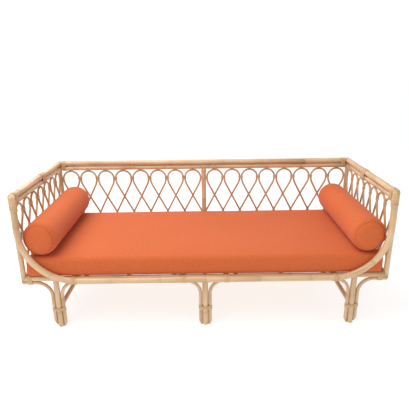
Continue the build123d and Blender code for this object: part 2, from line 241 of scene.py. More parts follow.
# ---- finishes
@dataclass(frozen=True)
class RattanFinish:
    """Peeled and lacquered rattan: long fibres, mottled honey tones, darker joints.

    The piece carries "skin", its surface unrolled along the pole in metres, and "joint",
    which is 1 where the plant's joints are.
    """

    name: str
    light: Triple
    middle: Triple
    dark: Triple
    roughness: float = 0.42
    coat: float = 0.25

    def make(self) -> Material:
        """Build the material."""
        graph = Graph(self.name)
        skin = graph.attribute("skin").outputs["Vector"]
        fibres = graph.noise(graph.scaled(skin, (6.0, 420.0, 420.0)), 1.0, 4.0)
        patches = graph.noise(graph.scaled(skin, (5.0, 30.0, 30.0)), 1.0, 3.0)
        flecks = graph.noise(graph.scaled(skin, (70.0, 260.0, 260.0)), 1.0, 2.0)
        tone = graph.maths("MULTIPLY_ADD", fibres, 0.35)
        graph.join(graph.maths("MULTIPLY", patches, 0.65), tone.node.inputs[2])
        colour = graph.ramp(tone, [(0.30, self.dark), (0.44, self.middle), (0.62, self.light)])
        fleck = graph.ramp(flecks, [(0.64, (0.0, 0.0, 0.0)), (0.74, (0.5, 0.5, 0.5))])
        colour = graph.mixed(fleck, colour, self.dark)
        joint = graph.attribute("joint").outputs["Fac"]
        colour = graph.mixed(graph.maths("MULTIPLY", joint, 0.32), colour, self.dark)
        graph.painted(colour, Roughness=self.roughness, Coat_Weight=self.coat, Coat_Roughness=0.28)
        graph.bump(fibres, 0.35, 0.0006)
        return graph.material


@dataclass(frozen=True)
class StripFinish:
    """Split cane wound round a joint: fine long fibres, with painted shade along each strip's edges, in the
    grooves between turns.

    The piece carries "skin" and "edge", which is 1 along both edges of the strip.
    """

    name: str
    light: Triple
    dark: Triple

    def make(self) -> Material:
        """Build the material."""
        graph = Graph(self.name)
        skin = graph.attribute("skin").outputs["Vector"]
        fibres = graph.noise(graph.scaled(skin, (18.0, 900.0, 900.0)), 1.0, 3.0)
        patches = graph.noise(graph.scaled(skin, (14.0, 14.0, 14.0)), 1.0, 2.0)
        tone = graph.maths("MULTIPLY", graph.maths("ADD", fibres, patches), 0.5)
        colour = graph.ramp(tone, [(0.34, self.dark), (0.60, self.light)])
        # painted shade: the strip's colour is darkened towards both edges, where the turns meet in grooves
        edge = graph.attribute("edge").outputs["Fac"]
        shade = tuple(c * 0.6 for c in self.dark)
        colour = graph.mixed(graph.maths("MULTIPLY", edge, 0.45), colour, shade)
        graph.painted(colour, Roughness=0.5, Coat_Weight=0.12, Coat_Roughness=0.35)
        graph.bump(fibres, 0.3, 0.0004)
        return graph.material


@dataclass(frozen=True)
class SlatFinish:
    """Planed softwood of the slats, with grain along the seat."""

    name: str
    light: Triple
    dark: Triple

    def make(self) -> Material:
        """Build the material."""
        graph = Graph(self.name)
        place = graph.node("TexCoord").outputs["Object"]
        grain = graph.noise(graph.scaled(place, (2.0, 90.0, 90.0)), 1.0, 5.0)
        boards = graph.noise(graph.scaled(place, (0.7, 12.2, 1.0)), 1.0, 0.0)
        tone = graph.maths("MULTIPLY", graph.maths("ADD", grain, boards), 0.5)
        colour = graph.ramp(tone, [(0.35, self.dark), (0.62, self.light)])
        graph.painted(colour, Roughness=0.68)
        graph.bump(grain, 0.3, 0.0008)
        return graph.material


@dataclass(frozen=True)
class SteelFinish:
    """Dull, slightly stained screw steel."""

    name: str
    colour: Triple

    def make(self) -> Material:
        """Build the material."""
        graph = Graph(self.name)
        place = graph.node("TexCoord").outputs["Object"]
        stains = graph.noise(place, 350.0, 4.0)
        dark = tuple(c * 0.4 for c in self.colour)
        graph.painted(graph.ramp(stains, [(0.35, dark), (0.6, self.colour)]), Metallic=0.9, Roughness=0.45)
        graph.bump(stains, 0.2, 0.0002)
        return graph.material


@dataclass(frozen=True)
class CoverFinish:
    """Plain-woven upholstery cotton: crossed threads, thicker slubs, a soft sheen, and painted shade along
    its seams.

    The piece carries "cloth", the cover laid flat in metres, and "crease", which is 1 where
    the cover is drawn in by a seam.
    """

    name: str
    colour: Triple
    thread: float = 0.0011

    def make(self) -> Material:
        """Build the material."""
        graph = Graph(self.name)
        cloth = graph.attribute("cloth").outputs["Vector"]
        threads = []
        for direction in ("X", "Y"):
            wave = graph.node("TexWave", wave_type="BANDS", bands_direction=direction, wave_profile="SIN")
            wave.inputs["Scale"].default_value = 1.0 / self.thread / 3.2
            wave.inputs["Distortion"].default_value = 1.2
            wave.inputs["Detail"].default_value = 1.0
            wave.inputs["Detail Scale"].default_value = 0.4
            graph.join(cloth, wave.inputs["Vector"])
            threads.append(wave.outputs["Fac"])
        weave = graph.maths("MAXIMUM", threads[0], threads[1])
        slubs = graph.noise(graph.scaled(cloth, (900.0, 60.0, 60.0)), 1.0, 2.0)
        slubs_across = graph.noise(graph.scaled(cloth, (60.0, 900.0, 60.0)), 1.0, 2.0)
        slub = graph.maths("MULTIPLY", graph.maths("ADD", slubs, slubs_across), 0.5)
        wash = graph.noise(cloth, 3.2, 3.0)
        dark = tuple(c * 0.80 for c in self.colour)
        light = tuple(min(1.0, c * 1.10 + 0.006) for c in self.colour)
        colour = graph.ramp(slub, [(0.36, dark), (0.5, self.colour), (0.64, light)])
        worn = tuple(min(1.0, c * 1.06 + 0.004) for c in self.colour)
        soft = graph.ramp(wash, [(0.4, (0.0, 0.0, 0.0)), (0.7, (0.45, 0.45, 0.45))])
        colour = graph.mixed(soft, colour, worn)
        gaps = graph.maths("MULTIPLY", graph.maths("SUBTRACT", weave, 1.0), -0.35)
        colour = graph.mixed(gaps, colour, tuple(c * 0.55 for c in self.colour))
        # painted shade: the cover is darkened where a seam draws it in, and in the bolsters' puckers
        seam_shade = graph.maths("MULTIPLY", graph.attribute("seam_shade").outputs["Fac"], 0.6)
        colour = graph.mixed(seam_shade, colour, tuple(c * 0.42 for c in self.colour))
        gloss = {"Sheen_Weight": 0.10, "Sheen_Roughness": 0.45, "Specular_IOR_Level": 0.25}
        graph.painted(colour, Roughness=0.9, **gloss)
        height = graph.maths("ADD", weave, graph.maths("MULTIPLY", slub, 1.5))
        graph.bump(height, 0.35, 0.0005)
        return graph.material


@dataclass(frozen=True)
class FloorFinish:
    """Plain matt studio floor, lit from within so that shadows stay pale."""

    name: str
    shade: float = 0.45
    glow: float = 0.72

    def make(self) -> Material:
        """Build the material."""
        graph = Graph(self.name)
        graph.shader.inputs["Base Color"].default_value = (self.shade, self.shade, self.shade, 1.0)
        graph.shader.inputs["Emission Color"].default_value = (1.0, 1.0, 1.0, 1.0)
        graph.set(Roughness=0.9, Specular_IOR_Level=0.1, Emission_Strength=self.glow)
        return graph.material


@dataclass
class Finishes:
    """All the daybed's materials, made once."""

    pole: Material = field(init=False)
    cane: Material = field(init=False)
    strip: Material = field(init=False)
    slat: Material = field(init=False)
    steel: Material = field(init=False)
    cover: Material = field(init=False)

    def __post_init__(self) -> None:
        """Make every finish."""
        self.pole = RattanFinish(
            "lacquered_pole", (0.72, 0.50, 0.29), (0.60, 0.38, 0.20), (0.36, 0.19, 0.085), coat=0.45
        ).make()
        self.cane = RattanFinish(
            "lacquered_cane", (0.64, 0.40, 0.20), (0.52, 0.29, 0.125), (0.31, 0.145, 0.055), coat=0.25
        ).make()
        self.strip = StripFinish("wound_strip", (0.72, 0.48, 0.26), (0.52, 0.30, 0.14)).make()
        self.slat = SlatFinish("planed_slat", (0.66, 0.47, 0.27), (0.45, 0.28, 0.13)).make()
        self.steel = SteelFinish("screw_steel", (0.32, 0.29, 0.27)).make()
        self.cover = CoverFinish("orange_cotton", (0.66, 0.140, 0.040)).make()


# ---- modelling helpers
def deselect_all() -> None:
    """Leave edit mode and select nothing."""
    if bpy.context.object and bpy.context.object.mode != "OBJECT":
        bpy.ops.object.mode_set(mode="OBJECT")
    bpy.ops.object.select_all(action="DESELECT")


def make_active(piece: Mesh) -> None:
    """Select one piece alone and make it active."""
    deselect_all()
    piece.select_set(True)
    bpy.context.view_layer.objects.active = piece


def apply_modifiers(piece: Mesh) -> None:
    """Apply every modifier of a piece, first to last."""
    make_active(piece)
    for modifier in list(piece.modifiers):
        bpy.ops.object.modifier_apply(modifier=modifier.name)


def join_pieces(name: str, parts: list[Mesh]) -> Mesh:
    """Join several meshes into one named piece.

    Args:
        name: the piece's name.
        parts: the meshes, all at the origin.

    Returns:
        The joined piece.
    """
    deselect_all()
    for part in parts:
        part.select_set(True)
    bpy.context.view_layer.objects.active = parts[0]
    if len(parts) > 1:
        bpy.ops.object.join()
    piece = bpy.context.view_layer.objects.active
    piece.name = piece.data.name = name
    return piece


def settle(piece: Mesh) -> None:
    """Apply a piece's place, turn and scale, so that its object stands at the origin."""
    make_active(piece)
    bpy.ops.object.transform_apply(location=True, rotation=True, scale=True)


def cut_by_plane(piece: Mesh, point: Vector, normal: Vector) -> None:
    """Cut a closed piece with a plane and close the cut.

    Args:
        piece: the piece to cut.
        point: a point of the plane.
        normal: points to the side that is kept.
    """
    make_active(piece)
    bpy.ops.object.mode_set(mode="EDIT")
    bpy.ops.mesh.select_all(action="SELECT")
    bpy.ops.mesh.bisect(plane_co=point, plane_no=normal, use_fill=True, clear_inner=True)
    bpy.ops.object.mode_set(mode="OBJECT")


def dress(
    piece: Mesh, material: Material, body: str, replaced: list[str]
) -> Mesh:
    """Give a piece its finish and its place in the frame.

    Args:
        piece: the finished mesh.
        material: its finish.
        body: the CAD body that it moves with.
        replaced: the CAD nodes that it stands for.

    Returns:
        The same piece.
    """
    piece.data.materials.clear()
    piece.data.materials.append(material)
    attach(piece, body)
    if replaced:
        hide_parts(*replaced)
    log.info("%s: %d faces on %s", piece.name, len(piece.data.polygons), body)
    return piece


def write_attribute(piece: Mesh, name: str, values: list[float], kind: str = "FLOAT") -> None:
    """Store one value per vertex under a name.

    Args:
        piece: the mesh object.
        name: the attribute's name.
        values: the numbers, three per vertex for a vector.
        kind: Blender's name of the attribute's type.
    """
    layer = piece.data.attributes.new(name, kind, "POINT")
    layer.data.foreach_set("vector" if kind == "FLOAT_VECTOR" else "value", values)


# ---- poles
@dataclass
class Route:
    """The centre line of a bent pole: corners, each rounded by its own bend radius."""

    corners: list[Vector]
    bends: list[float] = field(default_factory=list)
    bend_step: float = math.radians(5)
    run_step: float = 0.05

    def points(self) -> list[Vector]:
        """Walk the route.

        Returns:
            Points along it, close together in the bends.
        """
        walked = [self.corners[0].copy()]
        for index, radius in enumerate(self.bends):
            here = self.corners[index + 1]
            before = (self.corners[index] - here).normalized()
            after = (self.corners[index + 2] - here).normalized()
            turn = math.pi - before.angle(after)
            reach = radius * math.tan(turn / 2)
            middle = here + (before + after).normalized() * (radius / math.cos(turn / 2))
            self._run_to(walked, here + before * reach)
            steps = max(2, round(turn / self.bend_step))
            arm = here + before * reach - middle
            axis = arm.cross(-before).normalized()
            for step in range(1, steps + 1):
                walked.append(middle + Matrix.Rotation(turn * step / steps, 3, axis) @ arm)
        self._run_to(walked, self.corners[-1])
        return walked

    def _run_to(self, walked: list[Vector], target: Vector) -> None:
        """Add evenly spaced points up to a target."""
        start = walked[-1]
        length = (target - start).length
        if length < 1e-5:
            return
        steps = max(1, math.ceil(length / self.run_step))
        walked.extend(start.lerp(target, step / steps) for step in range(1, steps + 1))


@dataclass
class PoleMaker:
    """Turns a centre line into a grown pole, with the plant's joints as raised rings."""

    sides: int = 24
    joint_gap: float = 0.30
    joint_swell: float = 0.020
    joint_half_width: float = 0.006
    waver: float = 0.0005
    end_round: float = 0.0015
    seed: int = 11

    def build(self, name: str, route: Route, radius: float) -> Mesh:
        """Make the pole's mesh.

        Args:
            name: the mesh's name.
            route: its centre line.
            radius: its nominal radius, in metres.

        Returns:
            A closed mesh with the attributes "skin" and "joint".
        """
        self.seed += 1
        dice = random.Random(self.seed)
        line, places = self._measured(route.points())
        joints = self._joint_places(places[-1], dice)
        stations = self._stations(places, joints)
        centres = [self._at(line, places, station) for station in stations]
        offset = dice.random() * 40.0
        swells = [self._swell(station, joints, places[-1], offset) for station in stations]
        centres = [
            centre + noise.noise_vector(Vector((station * 2.3 + offset, 0.0, 0.0))) * self.waver
            for centre, station in zip(centres, stations)
        ]
        piece = self._tube(name, centres, swells, radius)
        self._mark(piece, stations, joints, radius, offset)
        return piece

    def _measured(self, line: list[Vector]) -> tuple[list[Vector], list[float]]:
        """Pair a line's points with their distances along it."""
        places = [0.0]
        for before, after in zip(line, line[1:]):
            places.append(places[-1] + (after - before).length)
        return line, places

    def _at(self, line: list[Vector], places: list[float], station: float) -> Vector:
        """The point at a distance along a line."""
        for index in range(1, len(places)):
            if station <= places[index] + 1e-9:
                span = places[index] - places[index - 1]
                share = 0.0 if span == 0 else (station - places[index - 1]) / span
                return line[index - 1].lerp(line[index], share)
        return line[-1]

    def _joint_places(self, length: float, dice: random.Random) -> list[float]:
        """Where the plant's joints fall along a pole."""
        joints = []
        place = self.joint_gap * dice.uniform(0.25, 0.9)
        while place < length - 0.03:
            joints.append(place)
            place += self.joint_gap * dice.uniform(0.8, 1.25)
        return joints

    def _stations(self, places: list[float], joints: list[float]) -> list[float]:
        """Distances at which the pole gets a ring of vertices."""
        length = places[-1]
        wanted = set(round(place, 5) for place in places)
        wanted.update((round(self.end_round, 5), round(length - self.end_round, 5)))
        for joint in joints:
            for share in (-1.6, -0.7, -0.25, 0.0, 0.25, 0.7, 1.6):
                station = joint + share * self.joint_half_width
                if 0.004 < station < length - 0.004:
                    wanted.add(round(station, 5))
        ordered = sorted(wanted)
        kept = [ordered[0]]
        for station in ordered[1:]:
            if station - kept[-1] > 0.0007:
                kept.append(station)
        kept[-1] = length
        return kept

    def _swell(self, station: float, joints: list[float], length: float, offset: float) -> float:
        """How thick the pole is at a place, as a share of its radius."""
        thick = 0.985 + 0.012 * noise.noise(Vector((station * 3.0, offset, 0.0)))
        for joint in joints:
            away = abs(station - joint) / self.joint_half_width
            if away < 3.0:
                thick += self.joint_swell * math.exp(-away * away * 1.4)
                thick -= 0.012 * math.exp(-((away - 1.2) ** 2) * 6)
        if min(station, length - station) < 1e-6:
            thick *= 0.92
        return thick

    def _tube(self, name: str, centres: list[Vector], swells: list[float], radius: float) -> Mesh:
        """Bevel a curve through the centres and turn it into a closed mesh."""
        deselect_all()
        bpy.ops.curve.primitive_nurbs_path_add(location=(0, 0, 0))
        curve = bpy.context.object
        spline = curve.data.splines[0]
        spline.type = "POLY"
        spline.points.add(len(centres) - len(spline.points))
        for point, centre, swell in zip(spline.points, centres, swells):
            point.co = (*centre, 1.0)
            point.radius = swell
            point.tilt = 0.0
        curve.data.bevel_depth = radius
        curve.data.bevel_resolution = (self.sides - 4) // 2
        curve.data.use_fill_caps = True
        bpy.ops.object.convert(target="MESH")
        piece = bpy.context.object
        piece.name = piece.data.name = name
        bpy.ops.object.shade_smooth_by_angle(angle=math.radians(35))
        return piece

    def _mark(
        self, piece: Mesh, stations: list[float], joints: list[float], radius: float, offset: float
    ) -> None:
        """Store the unrolled skin and the joints on a tube's vertices."""
        rings = len(stations)
        around = len(piece.data.vertices) // rings
        skin, marks = [], []
        for index in range(len(piece.data.vertices)):
            ring, step = divmod(index, around)
            angle = 2 * math.pi * step / around
            station = stations[min(ring, rings - 1)]
            skin.extend((station + offset, radius * math.cos(angle), radius * math.sin(angle)))
            nearest = min((abs(station - joint) for joint in joints), default=1.0)
            marks.append(math.exp(-((nearest / self.joint_half_width) ** 2) * 2.5))
        write_attribute(piece, "skin", skin, "FLOAT_VECTOR")
        write_attribute(piece, "joint", marks)


# ---- what the frame measures
@dataclass
class NodeBox:
    """The box round a CAD node."""

    name: str
    low: Vector = field(init=False)
    high: Vector = field(init=False)

    def __post_init__(self) -> None:
        """Read the node's box."""
        self.low, self.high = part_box(self.name)

    @property
    def size(self) -> Vector:
        """Its three sides."""
        return self.high - self.low

    @property
    def middle(self) -> Vector:
        """Its centre."""
        return (self.high + self.low) / 2


@dataclass(frozen=True)
class Level:
    """One level of poles: how high its centre line runs, and the poles' radius."""

    height: float
    radius: float


@dataclass
class Measures:
    """Sizes and places of the daybed, read from the frame's boxes, in metres."""

    touch: float = 0.2 * MM
    hoop_lean: float = 0.009
    hoop: Level = field(init=False)
    top: Level = field(init=False)
    second: Level = field(init=False)
    seat: Level = field(init=False)
    hoop_x: float = field(init=False)
    hoop_y: float = field(init=False)
    hoop_top: float = field(init=False)
    corner_x: float = field(init=False)
    rows: dict[str, float] = field(init=False)
    centre_post_r: float = field(init=False)
    leg_r: float = field(init=False)
    leg_xs: dict[str, float] = field(init=False)
    brace: Level = field(init=False)
    brace_reach: float = field(init=False)
    stretcher: Level = field(init=False)
    cane_r: float = field(init=False)
    loop_top: float = field(init=False)

    def __post_init__(self) -> None:
        """Read the boxes."""
        hoop = NodeBox("front_hoop")
        radius = hoop.size.y / 2
        self.hoop = Level(hoop.low.z + radius, radius)
        self.hoop_x, self.hoop_y, self.hoop_top = hoop.high.x - radius, hoop.middle.y, hoop.high.z
        self.top = self._level("back_top_rail")
        self.second = self._level("back_second_rail")
        self.seat = self._level("seat_front_rail")
        post = NodeBox("front_right_post")
        self.corner_x = post.middle.x
        self.rows = {"front": post.middle.y, "rear": NodeBox("rear_right_post").middle.y}
        self.centre_post_r = NodeBox("rear_centre_post").size.x / 2
        leg = NodeBox("front_right_leg")
        self.leg_r = leg.size.x / 2
        self.leg_xs = {"left": -leg.middle.x, "centre": 0.0, "right": leg.middle.x}
        braces = NodeBox("front_centre_leg_braces")
        self.brace = Level(braces.high.z - braces.size.y / 2, braces.size.y / 2)
        self.brace_reach = braces.high.x
        self.stretcher = self._level("centre_stretcher")
        loops = NodeBox("back_left_loops")
        self.cane_r = (loops.size.y / 2 - self.touch) / 2
        self.loop_top = loops.high.z - self.cane_r

    def _level(self, name: str) -> Level:
        """The level of a pole that lies flat."""
        box = NodeBox(name)
        return Level(box.middle.z, box.size.z / 2)


# ---- wound bindings
@dataclass
class Ring:
    """One round pole inside a binding, seen end on."""

    across: float
    up: float
    radius: float


@dataclass
class Winding:
    """A flat strip wound round one or more poles, turn beside turn."""

    name: str
    centre: Vector
    along: Vector
    across: Vector
    rings: list[Ring]
    width: float
    turns: int
    thickness: float = 0.0009
    crown: float = 0.0007
    steps: int = 36
    ribs: int = 4
    gap_share: float = 0.05

    def outline(self) -> list[tuple[Vector, Vector]]:
        """The taut outline round the poles, in the plane of the rings.

        Returns:
            Its points, each with the direction that faces out there.
        """
        points = []
        for step in range(self.steps):
            angle = 2 * math.pi * (step + 0.5) / self.steps
            pull = Vector((math.cos(angle), math.sin(angle)))
            ring = max(self.rings, key=lambda each: Vector((each.across, each.up)) @ pull + each.radius)
            points.append((Vector((ring.across, ring.up)) + pull * ring.radius, pull))
        return points

    def build(self) -> Mesh:
        """Wind the strip.

        Returns:
            A closed mesh with the attributes "skin" and "edge".
        """
        outline = self.outline()
        lengths = [0.0]
        for (here, _), (there, _) in zip(outline, outline[1:] + outline[:1]):
            lengths.append(lengths[-1] + (there - here).length)
        count = self.turns * self.steps
        piece = new_grid(self.name, count, self.ribs)
        strip = self.width / (self.turns + 1)
        up = self.along.cross(self.across)
        skin, edges = [], []
        for vertex in piece.data.vertices:
            turn, step = divmod(round((vertex.co.x + 0.5) * count), self.steps)
            side = vertex.co.y * 2.0
            travelled = turn * lengths[-1] + lengths[step]
            flat, pull = outline[step]
            flat = flat + pull * (self.thickness + self.crown * (1.0 - side * side))
            shift = (travelled / lengths[-1] - self.turns / 2) * strip
            shift += side * strip * (0.5 - self.gap_share)
            vertex.co = self.centre + self.along * shift + self.across * flat.x + up * flat.y
            skin.extend((travelled, side * strip / 2 + turn * 0.37, turn * 0.3))
            edges.append(edge_of(side))
        return finish_strip(piece, skin, edges, self.thickness)


def edge_of(side: float) -> float:
    """How near the edge of its strip a point is, from 0 to 1, at a share of the half width."""
    return max(0.0, (abs(side) - 0.45) / 0.55)


def finish_strip(piece: Mesh, skin: list[float], edges: list[float], thickness: float) -> Mesh:
    """Mark a strip for its finish and give it its thickness.

    Args:
        piece: the shaped strip.
        skin: its surface laid flat, three numbers per vertex.
        edges: how near the strip's edge each vertex is.
        thickness: how thick the strip becomes.

    Returns:
        The same strip.
    """
    write_attribute(piece, "skin", skin, "FLOAT_VECTOR")
    write_attribute(piece, "edge", edges)
    thicken(piece, thickness)
    return piece


def new_grid(name: str, columns: int, rows: int) -> Mesh:
    """A flat grid from -0.5 to 0.5, to be shaped into a strip.

    Args:
        name: the mesh's name.
        columns: faces along X.
        rows: faces along Y.

    Returns:
        The grid.
    """
    deselect_all()
    bpy.ops.mesh.primitive_grid_add(x_subdivisions=columns, y_subdivisions=rows, size=1.0)
    piece = bpy.context.object
    piece.name = piece.data.name = name
    return piece


def thicken(piece: Mesh, thickness: float) -> None:
    """Give a strip its thickness, and turn all its faces outwards.

    Args:
        piece: the strip.
        thickness: how thick it becomes, inwards from its face.
    """
    solid = piece.modifiers.new("thickness", "SOLIDIFY")
    solid.thickness = thickness
    solid.offset = 0.0
    apply_modifiers(piece)
    make_active(piece)
    bpy.ops.object.mode_set(mode="EDIT")
    bpy.ops.mesh.select_all(action="SELECT")
    bpy.ops.mesh.normals_make_consistent(inside=False)
    bpy.ops.object.mode_set(mode="OBJECT")
    bpy.ops.object.shade_smooth_by_angle(angle=math.radians(50))


# ---- the workshop
@dataclass
class Workshop:
    """What every sub-assembly is made with: sizes, finishes and the pole maker."""

    sizes: Measures
    finishes: Finishes
    poles: PoleMaker

    def pole(self, name: str, route: Route, radius: float) -> Mesh:
        """Grow a pole."""
        return self.poles.build(name, route, radius)

    def straight(self, name: str, start: Vector, end: Vector, radius: float) -> Mesh:
        """Grow a straight pole between two points."""
        return self.poles.build(name, Route([start, end]), radius)

    def doubled_rings(self) -> list[Ring]:
        """The doubled rail's two poles."""
        return [Ring(0, each.height, each.radius) for each in (self.sizes.top, self.sizes.second)]

    def seat_rings(self, y: float) -> list[Ring]:
        """A seat rail and the braces' level run under it."""
        return [Ring(y, each.height, each.radius) for each in (self.sizes.seat, self.sizes.brace)]

    def hoop_head_x(self) -> float:
        """How far from the middle the hoop's ends stand; its uprights lean in."""
        return self.sizes.hoop_x - self.sizes.hoop_lean

    def finish_pole(self, piece: Mesh, *replaced: str) -> Mesh:
        """Lacquer a thick pole and put it on the frame."""
        return dress(piece, self.finishes.pole, FRAME_BODY, list(replaced))

    def finish_cane(self, piece: Mesh, *replaced: str) -> Mesh:
        """Lacquer a thin cane and put it on the frame."""
        return dress(piece, self.finishes.cane, FRAME_BODY, list(replaced))

    def finish_binding(self, piece: Mesh, *replaced: str) -> Mesh:
        """Finish a wound strip and put it on the frame."""
        return dress(piece, self.finishes.strip, FRAME_BODY, list(replaced))


# ---- carcass
@dataclass
class Carcass:
    """The thick poles above the legs: hoop, posts, seat frame and the doubled rail."""

    shop: Workshop
    hoop_bend: float = 0.280

    def build(self) -> None:
        """Make and dress every pole of the carcass."""
        self.build_hoop()
        for level, word in ((self.shop.sizes.top, "top"), (self.shop.sizes.second, "second")):
            self.build_level(level, word)
        self.build_seat_frame()
        self.build_posts()

    def build_hoop(self) -> None:
        """Bend the front hoop: two uprights and the level run, in one pole."""
        sizes = self.shop.sizes
        x, y, z = sizes.hoop_x, sizes.hoop_y, sizes.hoop.height
        top = sizes.hoop_top - 4 * MM
        head = self.shop.hoop_head_x()
        corners = [Vector((-head, y, top)), Vector((-x, y, z)), Vector((x, y, z)), Vector((head, y, top))]
        hoop = self.shop.pole("hoop_rattan", Route(corners, [self.hoop_bend] * 2), sizes.hoop.radius)
        self.shop.finish_pole(hoop, "front_hoop")

    def build_level(self, level: Level, word: str) -> None:
        """Make one level of the rail round back and arms, mitred at the rear corners.

        Args:
            level: its height and its poles' radius.
            word: the level's name in the frame.
        """
        sizes = self.shop.sizes
        reach = sizes.corner_x + level.radius
        rear = sizes.rows["rear"]
        ends = [Vector((sign * reach, rear, level.height)) for sign in (-1, 1)]
        back = self.shop.straight(f"back_{word}_rattan", *ends, level.radius)
        for side, sign in SIDES.items():
            corner = Vector((sign * sizes.corner_x, rear, level.height))
            cut_by_plane(back, corner, Vector((-sign, 1, 0)))
            front = Vector((corner.x, sizes.rows["front"] - 4 * MM, level.height))
            beyond = Vector((corner.x, rear + level.radius, level.height))
            arm = self.shop.straight(f"{side}_arm_{word}_rattan", front, beyond, level.radius)
            cut_by_plane(arm, corner, Vector((sign, -1, 0)))
            self.shop.finish_pole(arm, f"{side}_arm_{word}_rail")
        self.shop.finish_pole(back, f"back_{word}_rail")

    def build_seat_frame(self) -> None:
        """Make the four seat rails; front and rear are mitred to the corner posts."""
        sizes = self.shop.sizes
        z, radius = sizes.seat.height, sizes.seat.radius
        reach = sizes.corner_x + radius
        for row, y in sizes.rows.items():
            ends = [Vector((sign * reach, y, z)) for sign in (-1, 1)]
            rail = self.shop.straight(f"seat_{row}_rattan", *ends, radius)
            for sign in (-1, 1):
                cut_by_plane(rail, Vector((sign * sizes.corner_x, y, z)), Vector((-sign, 0, -1)))
            self.shop.finish_pole(rail, f"seat_{row}_rail")
        for side, sign in SIDES.items():
            ends = [Vector((sign * sizes.corner_x, sizes.rows[row], z)) for row in ROWS]
            rail = self.shop.straight(f"{side}_seat_rattan", *ends, radius - 0.5 * MM)
            self.shop.finish_pole(rail, f"{side}_seat_rail")

    def build_posts(self) -> None:
        """Make the corner posts and the middle post of the back."""
        sizes = self.shop.sizes
        z, radius = sizes.seat.height, sizes.seat.radius
        for row, y in sizes.rows.items():
            for side, sign in SIDES.items():
                x = sign * sizes.corner_x
                foot, head = Vector((x, y, z - radius)), Vector((x, y, sizes.second.height))
                post = self.shop.straight(f"{row}_{side}_post_rattan", foot, head, radius)
                cut_by_plane(post, Vector((x, y, z)), Vector((sign, 0, 1)))
                self.shop.finish_pole(post, f"{row}_{side}_post")
        foot = Vector((0, sizes.rows["rear"], z))
        head = Vector((0, sizes.rows["rear"], sizes.second.height))
        centre = self.shop.straight("centre_post_rattan", foot, head, sizes.centre_post_r)
        self.shop.finish_pole(centre, "rear_centre_post")


# ---- legs below
@dataclass
class Underframe:
    """Legs with their bent braces, and the stretchers between front and rear legs."""

    shop: Workshop
    brace_bend: float = 0.080
    tip_slant: float = 0.012

    def build(self) -> None:
        """Make and dress every leg, brace and stretcher."""
        sizes = self.shop.sizes
        for row, y in sizes.rows.items():
            for place, x in sizes.leg_xs.items():
                leg = self.shop.straight(
                    f"{row}_{place}_leg_rattan",
                    Vector((x, y, 0)),
                    Vector((x, y, sizes.seat.height)),
                    sizes.leg_r,
                )
                self.shop.finish_pole(leg, f"{row}_{place}_leg")
                self.build_braces(row, place, x, y)
        for place, x in sizes.leg_xs.items():
            ends = [Vector((x, sizes.rows[row], sizes.stretcher.height)) for row in ROWS]
            bar = self.shop.straight(f"{place}_stretcher_rattan", *ends, sizes.stretcher.radius)
            self.shop.finish_pole(bar, f"{place}_stretcher")

    def build_braces(self, row: str, place: str, x: float, y: float) -> None:
        """Make a leg's two braces as one piece; their tips are cut on a slant.

        Args:
            row: front or rear.
            place: which of the row's legs.
            x: the leg's place along the seat.
            y: the row's place.
        """
        sizes = self.shop.sizes
        pair = []
        for side, sign in SIDES.items():
            outer = sign * x > 0
            reach = sizes.corner_x + sizes.seat.radius - abs(x) if outer else sizes.brace_reach
            stand = x + sign * (sizes.leg_r + sizes.brace.radius + sizes.touch)
            tip = x + sign * reach
            level = sizes.brace.height
            corners = [Vector((stand, y, 0)), Vector((stand, y, level)), Vector((tip, y, level))]
            name = f"{row}_{place}_{side}_brace"
            brace = self.shop.pole(name, Route(corners, [self.brace_bend]), sizes.brace.radius)
            middle = Vector((tip - sign * self.tip_slant / 2, y, sizes.brace.height))
            slope = self.tip_slant / sizes.brace.radius / 2
            cut_by_plane(brace, middle, Vector((-sign, 0, slope)).normalized())
            pair.append(brace)
        braces = join_pieces(f"{row}_{place}_braces_cane", pair)
        self.shop.finish_pole(braces, f"{row}_{place}_leg_braces")


